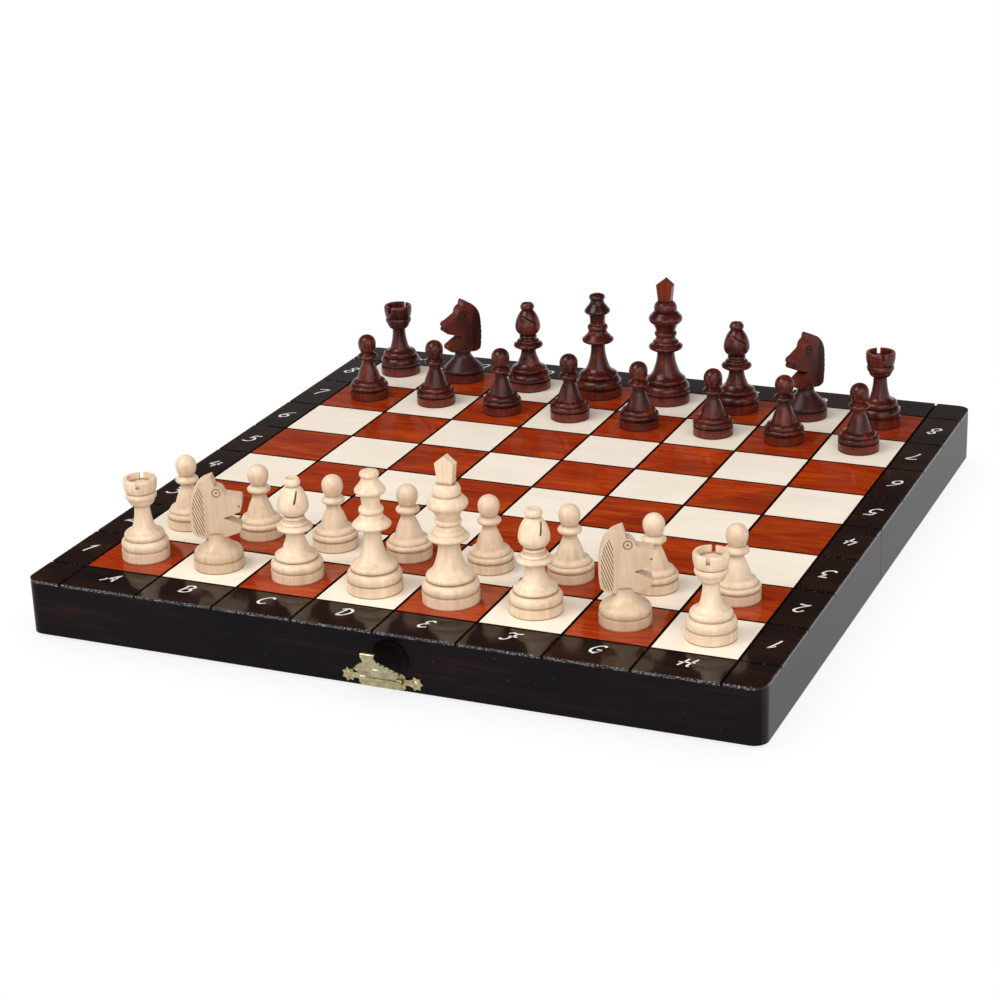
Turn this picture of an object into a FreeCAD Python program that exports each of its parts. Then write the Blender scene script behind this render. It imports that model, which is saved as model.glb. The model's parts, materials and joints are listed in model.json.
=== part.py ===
import FreeCAD, Part
import math
import os

Vector = FreeCAD.Vector
os.makedirs("parts", exist_ok=True)

# A folding wooden chess board, open flat with its men set out for the start of a game.
# X runs along the files from A to H, Y from the front edge to the back edge, Z is up.
# The origin is the middle of the fold at the level of the rims that stand on the table.

# Playing field and the two halves of the case
square_pitch = 30.0
squares_per_side = 8
side_border = 14.0
end_border = 17.5
case_height = 20.0
wall_thickness = 6.5
panel_thickness = 3.0
rabbet_depth = 3.0
tile_thickness = 0.9
groove_width = 1.1
corner_radius = 5.0
fold_gap = 0.3

# Finger recess in the front wall
recess_diameter = 13.4
recess_depth = 3.0
recess_from_middle = 6.4
recess_height = 11.3

# Fold hinges between the two halves
hinge_spacing = 150.0
leaf_length = 24.0
leaf_height = 10.0
leaf_thickness = 0.8
knuckle_radius = 1.1
knuckles_per_hinge = 5
knuckle_play = 0.1
hinge_pin_radius = 0.5
pin_play = 0.03
notch_play = 0.3
leaf_nail_radius = 0.5
leaf_nail_head_radius = 1.0
leaf_nail_length = 4.0
leaf_nail_shares = (-0.34, 0.0, 0.34)
leaf_nail_height_share = 0.62

# Clasp on the front wall
clasp_from_middle = 3.2
clasp_axis_height = 3.4
clasp_plate_thickness = 0.5
clasp_plate_width = 17.0
clasp_plate_drop = 3.2
clasp_plate_rise = 2.9
clasp_plate_corner_share = 0.35
clasp_nail_spacing = 24.4
clasp_neck_height = 2.0
rosette_radius = 2.6
rosette_waist_share = 0.7
rosette_points = 7
clasp_knuckle_radius = 0.9
clasp_knuckle_length = 2.2
clasp_wall_play = 0.1
clasp_turn_play = 0.15
clasp_pin_radius = 0.4
clasp_nail_radius = 0.45
clasp_nail_head_radius = 1.1
clasp_nail_head_height = 0.45
clasp_nail_crown_share = 0.6
clasp_nail_length = 4.0
tongue_knuckle_length = 10.4
tongue_thickness = 0.5
tongue_length = 15.3
tongue_half_width = 8.1
tongue_lip_radius = 0.95
tongue_lip_wall = 0.4
tongue_slot_radius = 1.6
tongue_slot_share = 0.45
tongue_lean = 38.0
# Each pair is a share of the tongue's half width and of its length.
tongue_outline_shares = (
    (0.790, 0.170), (0.975, 0.340), (1.000, 0.412), (0.864, 0.451), (0.864, 0.510), (0.728, 0.556),
    (0.716, 0.608), (0.580, 0.647), (0.556, 0.693), (0.420, 0.725), (0.383, 0.771), (0.309, 0.797),
    (0.309, 1.000),
)

# Catch on the back wall, met by the tongue when the case is shut
catch_plate_width = 13.0
catch_plate_height = 4.4
catch_plate_thickness = 0.4
catch_nail_spacing = 9.0
catch_nail_radius = 0.4
catch_nail_head_radius = 0.8
catch_nail_head_height = 0.2
catch_nail_length = 4.0
catch_stud_radius = 1.2
catch_stud_height = 0.3

# Chessmen: height and base diameter of each kind
pawn_height = 26.8
pawn_base = 16.2
rook_height = 29.8
rook_base = 16.9
knight_height = 33.9
black_knight_height = 34.5
knight_base = 17.6
bishop_height = 36.3
bishop_base = 18.2
queen_height = 43.4
queen_base = 19.1
king_height = 41.9
king_base = 19.7
black_slim_share = 0.98

# Sawn and carved details of the men
finial_height = 9.9
finial_foot_width = 5.1
finial_shoulder_width = 6.8
finial_thickness = 3.2
finial_shoulder_share = 0.725
rook_slot_width = 1.4
bishop_slot_width = 0.7
white_slot_length = 4.6
black_slot_length = 8.0
bishop_slot_depth = 2.4
bishop_slot_height_share = 0.84
bishop_slot_reach_share = 0.588
white_slot_tilt = -20.0
black_slot_tilt = 58.0
knight_head_thickness = 5.2
mane_line_width = 0.3
mane_line_depth = 0.35
mane_line_pitch = 0.8
mane_line_tilt = 21.0
mane_lines = 14
eye_radius = 1.6
eye_ring_width = 0.4
eye_dot_radius = 0.4
eye_depth = 0.35
eye_shares = (0.031, 0.826)
nostril_shares = (0.254, 0.678)

# How far a man set out by hand is turned about its own axis
man_turns = {
    "white_rook_a": 23.0, "white_rook_h": 9.0, "black_rook_a": -12.0, "black_rook_h": 25.0,
    "white_knight_b": 22.0, "white_knight_g": 22.0, "black_knight_b": 229.0, "black_knight_g": 240.0,
    "white_bishop_c": -49.0, "white_bishop_f": -34.0, "black_bishop_c": -64.0, "black_bishop_f": -66.0,
}

# How far a man set out by hand stands off the middle of its square, in shares of the square pitch
placing_shares = {
    "white_rook_a": (0.03, -0.01), "white_knight_b": (0, 0.02), "white_bishop_c": (0.02, 0.03),
    "white_queen": (0.03, -0.01), "white_king": (-0.02, -0.02), "white_bishop_f": (-0.01, 0.02),
    "white_knight_g": (0.03, 0.05), "white_rook_h": (0.04, -0.03), "white_pawn_a": (0.02, 0.05),
    "white_pawn_b": (0.01, 0.04), "white_pawn_c": (0.02, 0), "white_pawn_d": (-0.01, 0),
    "white_pawn_e": (0.03, -0.02), "white_pawn_f": (0.01, 0.01), "white_pawn_g": (0.01, 0.04),
    "white_pawn_h": (-0.02, 0.04), "black_rook_a": (-0.03, 0.15), "black_knight_b": (-0.05, 0.16),
    "black_bishop_c": (-0.02, 0.10), "black_queen": (0.02, 0.09), "black_king": (-0.01, 0.13),
    "black_bishop_f": (0.01, 0.08), "black_knight_g": (-0.03, 0.09), "black_rook_h": (-0.02, 0.08),
    "black_pawn_a": (0.01, 0.05), "black_pawn_b": (0.01, 0.09), "black_pawn_c": (0.02, 0.03),
    "black_pawn_d": (-0.01, 0.08), "black_pawn_e": (-0.01, 0.05), "black_pawn_f": (0.02, 0.06),
    "black_pawn_g": (-0.02, 0.08), "black_pawn_h": (-0.02, 0.06),
}

# Outlines of the turned men. A pair is a straight step, four values are an arc by way of a point,
# and one value is a dome that closes on the axis at that height.
# Each place is a share of the base radius and a share of the height.
pawn_outline_shares = (
    (1.000, 0.000), (1.000, 0.125), (0.938, 0.136), (0.951, 0.147), (1.006, 0.179, 0.920, 0.215),
    (0.870, 0.220), (0.846, 0.257, 0.704, 0.285), (0.630, 0.293), (0.605, 0.310),
    (0.506, 0.407, 0.309, 0.545), (0.302, 0.604), (0.395, 0.618), (0.519, 0.653, 0.451, 0.688),
    (0.364, 0.709), (0.333, 0.718), (0.432, 0.784, 0.467, 0.862), (1.000,),
)
rook_outline_shares = (
    (1.000, 0.000), (1.000, 0.117), (0.941, 0.128), (0.959, 0.138), (0.994, 0.188, 0.893, 0.245),
    (0.817, 0.255), (0.840, 0.292, 0.769, 0.329), (0.568, 0.349, 0.479, 0.383),
    (0.385, 0.480, 0.325, 0.631), (0.325, 0.654), (0.391, 0.664), (0.503, 0.691, 0.556, 0.738),
    (0.598, 0.745), (0.651, 0.785, 0.615, 0.822), (0.586, 0.831), (0.639, 0.839),
    (0.692, 0.899, 0.704, 0.960), (0.698, 0.983, 0.663, 1.000), (0.538, 1.000), (0.515, 0.919),
    (0.000, 0.919),
)
knight_outline_shares = (
    (1.000, 0.000), (1.000, 0.096), (0.943, 0.105), (0.960, 0.114), (0.977, 0.156, 0.852, 0.204),
    (0.795, 0.209), (0.591, 0.248, 0.455, 0.292), (0.426, 0.319, 0.420, 0.372), (0.000, 0.372),
)
black_knight_outline_shares = (
    (1.000, 0.000), (1.000, 0.094), (0.943, 0.103), (0.966, 0.112), (0.989, 0.136, 0.932, 0.159),
    (0.534, 0.261), (0.477, 0.278), (0.398, 0.313, 0.386, 0.354), (0.386, 0.394), (0.000, 0.394),
)
bishop_outline_shares = (
    (1.000, 0.000), (1.000, 0.092), (0.940, 0.101), (0.956, 0.109), (0.995, 0.143, 0.868, 0.193),
    (0.791, 0.201), (0.824, 0.226, 0.764, 0.248), (0.571, 0.278, 0.473, 0.328),
    (0.385, 0.383, 0.346, 0.433), (0.346, 0.466), (0.571, 0.482), (0.648, 0.493),
    (0.681, 0.512, 0.632, 0.530), (0.538, 0.540), (0.516, 0.544), (0.511, 0.562, 0.434, 0.573),
    (0.396, 0.577), (0.368, 0.590), (0.407, 0.609, 0.368, 0.629), (0.346, 0.635),
    (0.533, 0.675, 0.588, 0.730), (0.495, 0.832, 0.258, 0.923), (0.324, 0.950, 0.297, 0.983),
    (0.253, 1.000), (0.198, 1.000), (0.165, 0.989), (0.000, 0.989),
)
queen_outline_shares = (
    (1.000, 0.000), (1.000, 0.081), (0.942, 0.088), (0.958, 0.094), (0.995, 0.129, 0.874, 0.173),
    (0.806, 0.180), (0.848, 0.203, 0.785, 0.226), (0.576, 0.256, 0.471, 0.300),
    (0.356, 0.382, 0.309, 0.475), (0.309, 0.516), (0.586, 0.525), (0.660, 0.533),
    (0.696, 0.548, 0.644, 0.565), (0.471, 0.604), (0.445, 0.607), (0.403, 0.638), (0.387, 0.644),
    (0.450, 0.668, 0.387, 0.694), (0.346, 0.699), (0.330, 0.714), (0.340, 0.756, 0.366, 0.797),
    (0.482, 0.809), (0.560, 0.825, 0.534, 0.846), (0.408, 0.882), (0.387, 0.886),
    (0.325, 0.908, 0.288, 0.938), (0.351, 0.961, 0.304, 0.984), (1.000,),
)
king_outline_shares = (
    (1.000, 0.000), (1.000, 0.088), (0.944, 0.095), (0.959, 0.103), (0.995, 0.141, 0.873, 0.186),
    (0.802, 0.193), (0.843, 0.217, 0.782, 0.241), (0.619, 0.279, 0.518, 0.329),
    (0.416, 0.406, 0.371, 0.477), (0.371, 0.513), (0.609, 0.527), (0.675, 0.536),
    (0.716, 0.551, 0.670, 0.570), (0.584, 0.582), (0.558, 0.586), (0.543, 0.604, 0.482, 0.616),
    (0.447, 0.621), (0.411, 0.652), (0.401, 0.659), (0.472, 0.683, 0.416, 0.706), (0.401, 0.710),
    (0.472, 0.757, 0.569, 0.792), (0.614, 0.797), (0.706, 0.828, 0.655, 0.866), (0.508, 0.902),
    (0.457, 0.907), (0.482, 0.947, 0.426, 0.986), (0.365, 1.000), (0.000, 1.000),
)
# Outline of the knight's flat head and its mane, in shares of the knight's height
knight_head_shares = (
    (-0.103, 0.330), (-0.171, 0.342, -0.236, 0.389), (-0.251, 0.619, -0.221, 0.808),
    (-0.165, 0.914, -0.088, 0.973), (-0.015, 1.000), (0.003, 0.947), (0.018, 0.894),
    (0.071, 0.873, 0.103, 0.823), (0.118, 0.805), (0.248, 0.782), (0.280, 0.767, 0.283, 0.740),
    (0.276, 0.676), (0.263, 0.617), (0.088, 0.549), (0.254, 0.475), (0.265, 0.442), (0.242, 0.389),
    (0.103, 0.342),
)
black_knight_head_shares = (
    (-0.107, 0.348), (-0.171, 0.354, -0.209, 0.383), (-0.226, 0.580, -0.213, 0.788),
    (-0.159, 0.904, -0.049, 0.983), (-0.020, 1.000), (0.003, 0.983), (0.014, 0.933),
    (0.061, 0.899, 0.078, 0.846), (0.087, 0.832), (0.203, 0.759), (0.249, 0.736, 0.261, 0.710),
    (0.246, 0.693), (0.258, 0.670), (0.243, 0.632, 0.209, 0.614), (0.041, 0.557), (0.191, 0.464),
    (0.217, 0.426, 0.186, 0.386), (0.099, 0.354),
)
knight_mane_shares = (
    (-0.109, 0.897), (-0.147, 0.891), (-0.201, 0.802), (-0.227, 0.678), (-0.227, 0.531),
    (-0.218, 0.404), (-0.171, 0.369), (-0.115, 0.357), (-0.106, 0.649),
)

# Derived places
cut_overrun = 1.0
full_turn = 360.0
half_count = squares_per_side // 2
field_half = half_count * square_pitch
half_width = field_half + side_border
half_depth = field_half + end_border
panel_top = case_height - tile_thickness
panel_bottom = panel_top - panel_thickness
spine_face = fold_gap / 2
clasp_offset = clasp_wall_play + clasp_knuckle_radius
clasp_axis = Vector(clasp_from_middle, -half_depth - clasp_offset, clasp_axis_height)
catch_height = tongue_slot_share * tongue_length - clasp_axis_height
front, back = -1, 1
along_x = Vector(1, 0, 0)
along_y = Vector(0, 1, 0)
along_z = Vector(0, 0, 1)
origin = Vector(0, 0, 0)


def block(x, y, z):
    """A box between two limits along each axis, given in either order."""
    low = Vector(min(x), min(y), min(z))
    return Part.makeBox(max(x) - low.x, max(y) - low.y, max(z) - low.z, low)


def prism(points, direction):
    """A flat outline pushed along a direction."""
    return Part.Face(Part.makePolygon(points + points[:1])).extrude(direction)


def rod(radius, x, y, z):
    """A round rod along X."""
    return Part.makeCylinder(radius, x[1] - x[0], Vector(x[0], y, z), along_x)


def fused(shapes):
    """One solid from several that overlap or meet."""
    return shapes[0].multiFuse(shapes[1:]).removeSplitter() if len(shapes) > 1 else shapes[0]


def save(name, shapes):
    """Writes one piece, or a group of alike pieces, and checks each solid."""
    solids = [solid for shape in shapes for solid in shape.Solids]
    good = all(solid.isValid() and solid.Volume > 0 for solid in solids)
    print(name, len(solids), "valid" if good else "NOT VALID")
    shape = solids[0] if len(solids) == 1 else Part.makeCompound(solids)
    shape.exportStep("parts/" + name + ".step")


# Case halves
def half_block(side, bottom, top):
    """The outer block of one half, with its two outer upright corners rounded."""
    plain = block((-half_width, half_width), (side * spine_face, side * half_depth), (bottom, top))
    upright = [edge for edge in plain.Edges if abs(edge.Vertexes[0].Z - edge.Vertexes[-1].Z) > 0]
    outer = [edge for edge in upright if abs(edge.Vertexes[0].Y) > field_half]
    return plain.makeFillet(corner_radius, outer)


def panel(side):
    """The board panel that lies in the rabbets of the four walls."""
    inset = wall_thickness - rabbet_depth
    reach = half_width - inset
    depths = (side * (spine_face + inset), side * (half_depth - inset))
    return block((-reach, reach), depths, (panel_bottom, panel_top))


def frame_ring(side):
    """The four walls of one half before they are parted at the mitres."""
    inner = half_width - wall_thickness
    depths = (side * (spine_face + wall_thickness), side * (half_depth - wall_thickness))
    cavity = block((-inner, inner), depths, (-cut_overrun, case_height))
    return half_block(side, 0, panel_top).cut(cavity).cut(panel(side))


def wall(ring, corners):
    """One wall, cut out of the ring by its mitred plan."""
    plan = [Vector(x, y, 0) for x, y in corners]
    return ring.common(prism(plan, Vector(0, 0, panel_top)))


def walls(side):
    """Outer, left, right and spine wall of one half, joined by mitres."""
    ring = frame_ring(side)
    x_out, x_in = half_width, half_width - wall_thickness
    outer, outer_in = side * half_depth, side * (half_depth - wall_thickness)
    spine, spine_in = side * spine_face, side * (spine_face + wall_thickness)
    return {
        "outer": wall(ring, [(-x_out, outer), (x_out, outer), (x_in, outer_in), (-x_in, outer_in)]),
        "left": wall(ring, [(-x_out, outer), (-x_in, outer_in), (-x_in, spine_in), (-x_out, spine)]),
        "right": wall(ring, [(x_out, outer), (x_in, outer_in), (x_in, spine_in), (x_out, spine)]),
        "spine": wall(ring, [(-x_out, spine), (x_out, spine), (x_in, spine_in), (-x_in, spine_in)]),
    }


def line(index):
    """The place of a line of the playing field, counted from its first edge."""
    return (index - half_count) * square_pitch


def tile(x, y):
    """A veneer piece that leaves half a groove on each side that is asked for."""
    return block(x, y, (panel_top, case_height))


def between(low, high):
    """The span of a tile between two lines of the field."""
    return (low + groove_width / 2, high - groove_width / 2)


def squares(side, parity):
    """The squares of one colour on one half."""
    ranks = range(half_count) if side == front else range(half_count, squares_per_side)
    return [
        tile(between(line(x), line(x + 1)), between(line(y), line(y + 1)))
        for x in range(squares_per_side) for y in ranks if (x + y) % 2 == parity
    ]


def border(side):
    """The border cells of one half: the end row, two side rows and two corners."""
    edge = field_half + groove_width / 2
    end = (side * edge, side * half_depth)
    sides = ((-half_width, -edge), (edge, half_width))
    ranks = range(half_count) if side == front else range(half_count, squares_per_side)
    cells = [tile(between(line(x), line(x + 1)), end) for x in range(squares_per_side)]
    cells += [tile(x, between(line(y), line(y + 1))) for x in sides for y in ranks]
    skin = half_block(side, panel_top, case_height)
    return cells + [tile(x, end).common(skin) for x in sides]


# Fold hinges
def knuckle_span(middle, index):
    """The stretch of a hinge's barrel that one knuckle takes."""
    pitch = leaf_length / knuckles_per_hinge
    start = middle - leaf_length / 2 + index * pitch
    return (start + knuckle_play / 2, start + pitch - knuckle_play / 2)


def leaf(side, middle):
    """One hinge leaf: a plate on the spine with its own knuckles on the fold axis."""
    length = (middle - leaf_length / 2, middle + leaf_length / 2)
    plate = block(length, (side * spine_face, side * (spine_face + leaf_thickness)), (0, leaf_height))
    own = [i for i in range(knuckles_per_hinge) if (i % 2 == 0) == (side == front)]
    for index in range(knuckles_per_hinge):
        if index not in own:
            start, end = knuckle_span(middle, index)
            gap = (start - knuckle_play, end + knuckle_play)
            plate = plate.cut(rod(knuckle_radius + notch_play, gap, 0, 0))
    body = fused([plate] + [rod(knuckle_radius, knuckle_span(middle, i), 0, 0) for i in own])
    bore = hinge_pin_radius if side == front else hinge_pin_radius + pin_play
    return body.cut(rod(bore, length, 0, 0))


def leaf_seat(side, middle):
    """What a leaf and the barrel take out of the spine wall."""
    length = (middle - leaf_length / 2, middle + leaf_length / 2)
    depth = (0, side * (spine_face + leaf_thickness))
    pocket = block(length, depth, (-cut_overrun, leaf_height))
    notch = rod(knuckle_radius + notch_play, (length[0] - notch_play, length[1] + notch_play), 0, 0)
    return pocket.fuse(notch)


def leaf_nails(side, middle):
    """The countersunk nails that hold one leaf."""
    inward = Vector(0, side, 0)
    height = leaf_nail_height_share * leaf_height
    nails = []
    for share in leaf_nail_shares:
        place = Vector(middle + share * leaf_length, side * spine_face, height)
        head = Part.makeCone(leaf_nail_head_radius, leaf_nail_radius, leaf_thickness, place, inward)
        shank = Part.makeCylinder(leaf_nail_radius, leaf_thickness + leaf_nail_length, place, inward)
        nails.append(head.fuse(shank).removeSplitter())
    return nails


# Clasp
def upright_plate(points, face, thickness):
    """A flat plate on a wall, drawn in X and Z; its thickness runs along Y from the wall's face."""
    return prism([Vector(x, face, z) for x, z in points], Vector(0, thickness, 0))


def rosette(middle, height):
    """The lobed end of the clasp plate."""
    points = []
    for index in range(2 * rosette_points):
        radius = rosette_radius if index % 2 == 0 else rosette_radius * rosette_waist_share
        angle = math.pi * index / rosette_points
        points.append((middle + radius * math.cos(angle), height + radius * math.sin(angle)))
    return upright_plate(points, -half_depth, -clasp_plate_thickness)


def round_nail(place, inward, radius, length, head_radius, head_height):
    """A nail with a low domed head that stands on the plate it holds."""
    crown = head_radius * clasp_nail_crown_share
    head = Part.makeCone(head_radius, crown, head_height, place, inward * -1)
    return head.fuse(Part.makeCylinder(radius, length, place, inward)).removeSplitter()


def clasp_nails():
    """The two nails through the rosettes of the clasp plate."""
    face = -half_depth - clasp_plate_thickness
    size = (clasp_nail_radius, clasp_nail_length, clasp_nail_head_radius, clasp_nail_head_height)
    reach = clasp_nail_spacing / 2
    places = [Vector(clasp_from_middle + way * reach, face, clasp_axis_height) for way in (-1, 1)]
    return [round_nail(place, along_y, *size) for place in places]


def clasp_base():
    """The nailed plate of the clasp with the two outer knuckles."""
    half = clasp_plate_width / 2
    low = clasp_axis_height - clasp_plate_drop
    high = clasp_axis_height + clasp_plate_rise
    snip = clasp_plate_corner_share * clasp_plate_rise
    rows = [(half - snip, low), (half, low + snip), (half, high - snip), (half - snip, high)]
    outline = [(clasp_from_middle + x, z) for x, z in rows]
    outline += [(clasp_from_middle - x, z) for x, z in reversed(rows)]
    plate = upright_plate(outline, -half_depth, -clasp_plate_thickness)
    reach = clasp_nail_spacing / 2
    neck = block(
        (clasp_from_middle - reach, clasp_from_middle + reach),
        (-half_depth, -half_depth - clasp_plate_thickness),
        (clasp_axis_height - clasp_neck_height / 2, clasp_axis_height + clasp_neck_height / 2),
    )
    ends = [rosette(clasp_from_middle + way * reach, clasp_axis_height) for way in (-1, 1)]
    inner = tongue_knuckle_length / 2 + knuckle_play
    window = rod(
        clasp_knuckle_radius + clasp_turn_play,
        (clasp_from_middle - inner, clasp_from_middle + inner), clasp_axis.y, clasp_axis.z,
    )
    left = (clasp_from_middle - inner - clasp_knuckle_length, clasp_from_middle - inner)
    right = (clasp_from_middle + inner, clasp_from_middle + inner + clasp_knuckle_length)
    body = fused([plate, neck] + ends).cut(window)
    body = fused([body] + [rod(clasp_knuckle_radius, x, clasp_axis.y, clasp_axis.z) for x in (left, right)])
    return body.cut(clasp_pin()).cut(Part.makeCompound(clasp_nails()))


def clasp_pin():
    """The pin through the clasp's barrel."""
    reach = tongue_knuckle_length / 2 + knuckle_play + clasp_knuckle_length
    return rod(
        clasp_pin_radius, (clasp_from_middle - reach, clasp_from_middle + reach), clasp_axis.y, clasp_axis.z
    )


def clasp_tongue():
    """The scalloped tongue with its half-moon slot and rolled lip, leaning out from the wall."""
    shoulder = clasp_knuckle_radius + 2 * clasp_turn_play
    half = tongue_knuckle_length / 2
    rows = [(half, 0), (half, shoulder)]
    rows += [(x * tongue_half_width, z * tongue_length) for x, z in tongue_outline_shares]
    outline = [(x + clasp_axis.x, z + clasp_axis.z) for x, z in rows]
    outline += [(clasp_axis.x - x, z + clasp_axis.z) for x, z in reversed(rows)]
    face = clasp_axis.y - tongue_thickness / 2
    plate = upright_plate(outline, face, tongue_thickness)
    barrel_span = (clasp_axis.x - half, clasp_axis.x + half)
    barrel = rod(clasp_knuckle_radius, barrel_span, clasp_axis.y, clasp_axis.z)
    lip_half = rows[-1][0]
    lip_span = (clasp_axis.x - lip_half, clasp_axis.x + lip_half)
    lip_place = (face + tongue_lip_radius, clasp_axis.z + tongue_length)
    lip = rod(tongue_lip_radius, lip_span, *lip_place)
    bore = rod(tongue_lip_radius - tongue_lip_wall, lip_span, *lip_place)
    turn = rod(clasp_pin_radius + pin_play, barrel_span, clasp_axis.y, clasp_axis.z)
    slot_foot = clasp_axis.z + tongue_slot_share * tongue_length
    slot = Part.makeCylinder(
        tongue_slot_radius, tongue_thickness, Vector(clasp_axis.x, face, slot_foot), along_y
    )
    slot = slot.common(block(
        (clasp_axis.x - tongue_slot_radius, clasp_axis.x + tongue_slot_radius),
        (face, face + tongue_thickness), (slot_foot, slot_foot + tongue_slot_radius),
    ))
    body = fused([plate, barrel, lip]).cut(bore).cut(turn).cut(slot)
    body.rotate(clasp_axis, along_x, tongue_lean)
    return body


# Catch
def catch_nails():
    """The two flat nails of the catch plate."""
    face = half_depth + catch_plate_thickness
    size = (catch_nail_radius, catch_nail_length, catch_nail_head_radius, catch_nail_head_height)
    reach = catch_nail_spacing / 2
    places = [Vector(clasp_from_middle + way * reach, face, catch_height) for way in (-1, 1)]
    return [round_nail(place, along_y * -1, *size) for place in places]


def catch():
    """A plate with rounded ends and a low half-moon stud that the tongue's slot drops over."""
    radius = catch_plate_height / 2
    reach = catch_plate_width / 2 - radius
    bar = block(
        (clasp_from_middle - reach, clasp_from_middle + reach),
        (half_depth, half_depth + catch_plate_thickness), (catch_height - radius, catch_height + radius),
    )
    places = [Vector(clasp_from_middle + way * reach, half_depth, catch_height) for way in (-1, 1)]
    ends = [Part.makeCylinder(radius, catch_plate_thickness, place, along_y) for place in places]
    depth = catch_plate_thickness + catch_stud_height
    stud = Part.makeCylinder(
        catch_stud_radius, depth, Vector(clasp_from_middle, half_depth, catch_height), along_y
    )
    stud = stud.common(block(
        (clasp_from_middle - catch_stud_radius, clasp_from_middle + catch_stud_radius),
        (half_depth, half_depth + depth), (catch_height, catch_height + catch_stud_radius),
    ))
    return fused([bar, stud] + ends).cut(Part.makeCompound(catch_nails()))


# Chessmen, each built at the origin
def dome_point(rim, crown):
    """A point half way up a round dome whose centre is on the axis."""
    rise = crown.z - rim.z
    centre = (crown.z ** 2 - rim.z ** 2 - rim.x ** 2) / (2 * rise)
    radius = crown.z - centre
    half_angle = math.atan2(rim.x, rim.z - centre) / 2
    return Vector(radius * math.sin(half_angle), 0, centre + radius * math.cos(half_angle))


def drawn(steps, width, height):
    """A closed flat outline in X and Z, from straight steps and arcs."""
    def place(x_share, z_share):
        return Vector(x_share * width, 0, z_share * height)
    here = place(*steps[-1][-2:]) if len(steps[-1]) > 1 else place(0, *steps[-1])
    edges = []
    for step in steps:
        end = place(*step[-2:]) if len(step) > 1 else place(0, *step)
        if len(step) == 1:
            edges.append(Part.Arc(here, dome_point(here, end), end).toShape())
        elif len(step) == 2:
            edges.append(Part.makeLine(here, end))
        else:
            edges.append(Part.Arc(here, place(*step[:2]), end).toShape())
        here = end
    return Part.Face(Part.Wire(edges))


def turned(steps, base, height):
    """A man turned on a lathe, from its outline beside the axis."""
    outline = drawn(((0, 0),) + steps, base / 2, height)
    return outline.revolve(origin, along_z, full_turn)


def width(base, white):
    """A man's base, a little slimmer on the black side."""
    return base if white else black_slim_share * base


def pawn(white):
    return turned(pawn_outline_shares, width(pawn_base, white), pawn_height)


def rook(white):
    """The turned rook with one saw cut across its rim."""
    body = turned(rook_outline_shares, width(rook_base, white), rook_height)
    floor = rook_outline_shares[-1][-1] * rook_height
    slot = (-rook_slot_width / 2, rook_slot_width / 2)
    reach = (-rook_base, rook_base)
    depth = (floor, rook_height + cut_overrun)
    return body.cut(block(slot, reach, depth))


def bishop(white):
    """The turned bishop with the slanting saw cut in its head, sawn its own way on each side."""
    slot_length = white_slot_length if white else black_slot_length
    slot_tilt = white_slot_tilt if white else black_slot_tilt
    base = width(bishop_base, white)
    body = turned(bishop_outline_shares, base, bishop_height)
    surface = bishop_slot_reach_share * base / 2
    half_length = slot_length / 2
    cut = block(
        (surface - bishop_slot_depth, surface + cut_overrun),
        (-bishop_slot_width / 2, bishop_slot_width / 2), (-half_length, half_length),
    )
    cut.rotate(origin, along_x, slot_tilt)
    cut.translate(Vector(0, 0, bishop_slot_height_share * bishop_height))
    return body.cut(cut)


def queen(white):
    return turned(queen_outline_shares, width(queen_base, white), queen_height)


def king(white):
    """The turned king with its flat roofed finial."""
    body = turned(king_outline_shares, width(king_base, white), king_height)
    shoulder = king_height + finial_shoulder_share * finial_height
    points = [
        (-finial_foot_width / 2, king_height), (finial_foot_width / 2, king_height),
        (finial_shoulder_width / 2, shoulder), (0, king_height + finial_height),
        (-finial_shoulder_width / 2, shoulder),
    ]
    finial = prism(
        [Vector(x, -finial_thickness / 2, z) for x, z in points], Vector(0, finial_thickness, 0)
    )
    return fused([body, finial])


def carving(face, inward, height):
    """Mane lines, eye and nostril cut into one flat side of the knight's head."""
    depth = (face - inward * cut_overrun, face + inward * mane_line_depth)
    middle = Vector(knight_mane_shares[3][0] * height, 0, knight_mane_shares[3][1] * height)
    lines = []
    for index in range(mane_lines):
        offset = (index - mane_lines / 2) * mane_line_pitch
        groove = block((offset, offset + mane_line_width), depth, (-height, height))
        groove.rotate(origin, along_y, -mane_line_tilt)
        groove.translate(middle)
        lines.append(groove)
    mane = [Vector(x * height, depth[0], z * height) for x, z in knight_mane_shares]
    mane = prism(mane, Vector(0, depth[1] - depth[0], 0))
    cuts = [groove.common(mane) for groove in lines]
    start = face - inward * cut_overrun
    length = eye_depth + cut_overrun

    def drill(shares, radius):
        place = Vector(shares[0] * height, start, shares[1] * height)
        return Part.makeCylinder(radius, length, place, Vector(0, inward, 0))
    ring = drill(eye_shares, eye_radius).cut(drill(eye_shares, eye_radius - eye_ring_width))
    cuts += [ring, drill(eye_shares, eye_dot_radius), drill(nostril_shares, eye_dot_radius)]
    return [cut for cut in cuts if cut.Volume > 0]


def knight(white):
    """A flat sawn head with carved sides on a turned foot, cut to its own pattern on each side."""
    height = knight_height if white else black_knight_height
    foot_shares = knight_outline_shares if white else black_knight_outline_shares
    head_shares = knight_head_shares if white else black_knight_head_shares
    foot = turned(foot_shares, width(knight_base, white), height)
    head = drawn(head_shares, height, height)
    head.translate(Vector(0, -knight_head_thickness / 2, 0))
    head = head.extrude(Vector(0, knight_head_thickness, 0))
    near, far = -knight_head_thickness / 2, knight_head_thickness / 2
    cuts = carving(near, 1, height) + carving(far, -1, height)
    return fused([foot, head.cut(Part.makeCompound(cuts))])


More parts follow.
